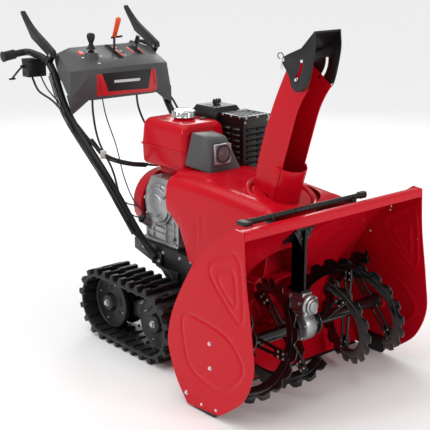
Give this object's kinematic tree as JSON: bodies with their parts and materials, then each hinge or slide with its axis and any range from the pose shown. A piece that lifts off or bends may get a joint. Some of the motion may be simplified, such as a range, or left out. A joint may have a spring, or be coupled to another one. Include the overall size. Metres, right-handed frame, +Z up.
{
  "type": "two stage snowblower",
  "caption": "Walk-behind snow thrower on rubber tracks with a serrated auger, a fan, a turning discharge chute with a hinged deflector, an engine and a handlebar console.",
  "frame": {"origin": "middle of the bounding box, on the ground", "axes": "+Z up; the machine faces -Y; +X is the operator's left"},
  "size_m": [0.834, 1.56, 1.2093],
  "materials": {
    "red_paint": "gloss",
    "black_paint": "satin",
    "black_plastic": "moulded",
    "grey_plastic": "moulded",
    "cast_alloy": "cast",
    "steel": "satin",
    "rubber": "moulded",
    "clear_plastic": "clear moulding",
    "orange_plastic": "moulded"
  },
  "bodies": {
    "machine": {"air_cleaner": "black_plastic", "auger_housing": "red_paint", "belt_cover": "red_paint", "blower_housing": "red_paint", "cable_loom": "rubber", "clutch_cable_left": "rubber", "clutch_cable_right": "rubber", "console": "grey_plastic", "control_housing_left": "black_plastic", "control_housing_right": "black_plastic", "crankcase": "cast_alloy", "cylinder_head": "cast_alloy", "drive_belt": "rubber", "fuel_tank": "red_paint", "gearbox": "cast_alloy", "gearbox_brace": "black_paint", "grip_left": "rubber", "grip_right": "rubber", "handlebar_left": "black_paint", "handlebar_right": "black_paint", "headlight_housing": "grey_plastic", "headlight_lens": "clear_plastic", "main_frame": "black_paint", "muffler": "black_paint", "recoil_cover": "red_paint", "scraper_blade": "black_paint", "shift_cable": "rubber", "side_plate_left": "red_paint", "side_plate_right": "red_paint", "skid_shoe_left": "black_paint", "skid_shoe_right": "black_paint", "throttle_cable": "rubber", "transmission": "black_paint"},
    "auger": {"auger_shaft": "steel", "auger_right": "black_paint", "auger_left": "black_paint"},
    "impeller": {"impeller_shaft": "steel", "impeller": "red_paint", "impeller_pulley": "steel"},
    "engine_crank": {"engine_pulley": "steel"},
    "track_unit": {"track_frame": "black_paint", "track_belt_right": "rubber", "track_belt_left": "rubber"},
    "drive_wheel_right": {"drive_wheel_right": "black_plastic"},
    "drive_wheel_left": {"drive_wheel_left": "black_plastic"},
    "idler_wheel_right": {"idler_wheel_right": "black_plastic"},
    "idler_wheel_left": {"idler_wheel_left": "black_plastic"},
    "chute": {"chute": "red_paint"},
    "deflector": {"deflector": "black_paint"},
    "clutch_lever_right": {"clutch_lever_right": "black_plastic"},
    "clutch_lever_left": {"clutch_lever_left": "black_plastic"},
    "steering_trigger_right": {"steering_trigger_right": "black_plastic"},
    "steering_trigger_left": {"steering_trigger_left": "black_plastic"},
    "speed_lever": {"speed_lever": "orange_plastic"},
    "choke_lever": {"choke_lever": "black_plastic"},
    "joystick_gimbal": {"joystick_gimbal": "black_plastic"},
    "joystick": {"joystick": "black_plastic"},
    "fuel_cap": {"fuel_cap": "steel"},
    "recoil_handle": {"recoil_handle": "black_plastic"},
    "clean_out_stick": {"clean_out_stick": "black_plastic"}
  },
  "joints": [
    {"name": "auger_spin", "type": "hinge", "parent": "machine", "child": "auger", "pos_m": [0, -0.575, 0.21], "axis": [1, 0, 0], "continuous": true},
    {"name": "impeller_spin", "type": "hinge", "parent": "machine", "child": "impeller", "pos_m": [0, -0.323, 0.29], "axis": [0, 1, 0], "continuous": true},
    {"name": "engine_spin", "type": "hinge", "parent": "machine", "child": "engine_crank", "pos_m": [0, -0.231, 0.5], "axis": [0, 1, 0], "continuous": true},
    {"name": "housing_height", "type": "hinge", "parent": "machine", "child": "track_unit", "pos_m": [0, -0.102, 0.14], "axis": [1, 0, 0], "range_deg": [0, 8]},
    {"name": "drive_wheel_right_spin", "type": "hinge", "parent": "machine", "child": "drive_wheel_right", "pos_m": [-0.23, -0.102, 0.14], "axis": [1, 0, 0], "continuous": true},
    {"name": "drive_wheel_left_spin", "type": "hinge", "parent": "machine", "child": "drive_wheel_left", "pos_m": [0.23, -0.102, 0.14], "axis": [1, 0, 0], "continuous": true},
    {"name": "idler_wheel_right_spin", "type": "hinge", "parent": "track_unit", "child": "idler_wheel_right", "pos_m": [-0.23, 0.187, 0.14], "axis": [1, 0, 0], "continuous": true},
    {"name": "idler_wheel_left_spin", "type": "hinge", "parent": "track_unit", "child": "idler_wheel_left", "pos_m": [0.23, 0.187, 0.14], "axis": [1, 0, 0], "continuous": true},
    {"name": "chute_turn", "type": "hinge", "parent": "machine", "child": "chute", "pos_m": [0, -0.461, 0.64], "axis": [0, -0.299, 0.9542], "range_deg": [-105, 105]},
    {"name": "deflector_tilt", "type": "hinge", "parent": "chute", "child": "deflector", "pos_m": [0, -0.5202, 1.1098], "axis": [1, 0, 0], "range_deg": [0, 46]},
    {"name": "clutch_lever_right_squeeze", "type": "hinge", "parent": "machine", "child": "clutch_lever_right", "pos_m": [-0.25, 0.561, 1.042], "axis": [1, 0, 0], "range_deg": [-16, 0], "stiffness_Nm_per_rad": 5, "springref_deg": 20.05},
    {"name": "clutch_lever_left_squeeze", "type": "hinge", "parent": "machine", "child": "clutch_lever_left", "pos_m": [0.25, 0.561, 1.042], "axis": [1, 0, 0], "range_deg": [-16, 0], "stiffness_Nm_per_rad": 5, "springref_deg": 20.05},
    {"name": "steering_trigger_right_pull", "type": "hinge", "parent": "machine", "child": "steering_trigger_right", "pos_m": [-0.3, 0.713, 0.986], "axis": [1, 0, 0], "range_deg": [0, 20], "stiffness_Nm_per_rad": 2, "springref_deg": -20.05},
    {"name": "steering_trigger_left_pull", "type": "hinge", "parent": "machine", "child": "steering_trigger_left", "pos_m": [0.3, 0.713, 0.986], "axis": [1, 0, 0], "range_deg": [0, 20], "stiffness_Nm_per_rad": 2, "springref_deg": -20.05},
    {"name": "speed_lever_swing", "type": "hinge", "parent": "machine", "child": "speed_lever", "pos_m": [0.022, 0.543, 0.915], "axis": [1, 0, 0], "range_deg": [-14, 14]},
    {"name": "choke_lever_swing", "type": "hinge", "parent": "machine", "child": "choke_lever", "pos_m": [0.13, 0.545, 0.935], "axis": [1, 0, 0], "range_deg": [-12, 6]},
    {"name": "joystick_fore_aft", "type": "hinge", "parent": "machine", "child": "joystick_gimbal", "pos_m": [-0.099, 0.52, 1.04], "axis": [1, 0, 0], "range_deg": [-12, 12], "stiffness_Nm_per_rad": 1},
    {"name": "joystick_side", "type": "hinge", "parent": "joystick_gimbal", "child": "joystick", "pos_m": [-0.099, 0.52, 1.04], "axis": [0, 1, 0], "range_deg": [-12, 12], "stiffness_Nm_per_rad": 1},
    {"name": "fuel_cap_turn", "type": "hinge", "parent": "machine", "child": "fuel_cap", "pos_m": [0.01, 0.077, 0.85], "axis": [0, 0, 1], "range_deg": [-90, 0]},
    {"name": "recoil_pull", "type": "slide", "parent": "machine", "child": "recoil_handle", "axis": [0, 1, 0], "range_m": [0, 0.06], "stiffness_N_per_m": 150, "springref_m": -0.05},
    {"name": "clean_out_lift", "type": "slide", "parent": "machine", "child": "clean_out_stick", "axis": [0, 0, 1], "range_m": [0, 0.15]}
  ],
  "couplings": [
    {"joint": "impeller_spin", "follows": "auger_spin", "ratio": 10},
    {"joint": "engine_spin", "follows": "auger_spin", "ratio": 29.47},
    {"joint": "idler_wheel_right_spin", "follows": "drive_wheel_right_spin", "ratio": 1},
    {"joint": "idler_wheel_left_spin", "follows": "drive_wheel_left_spin", "ratio": 1}
  ]
}
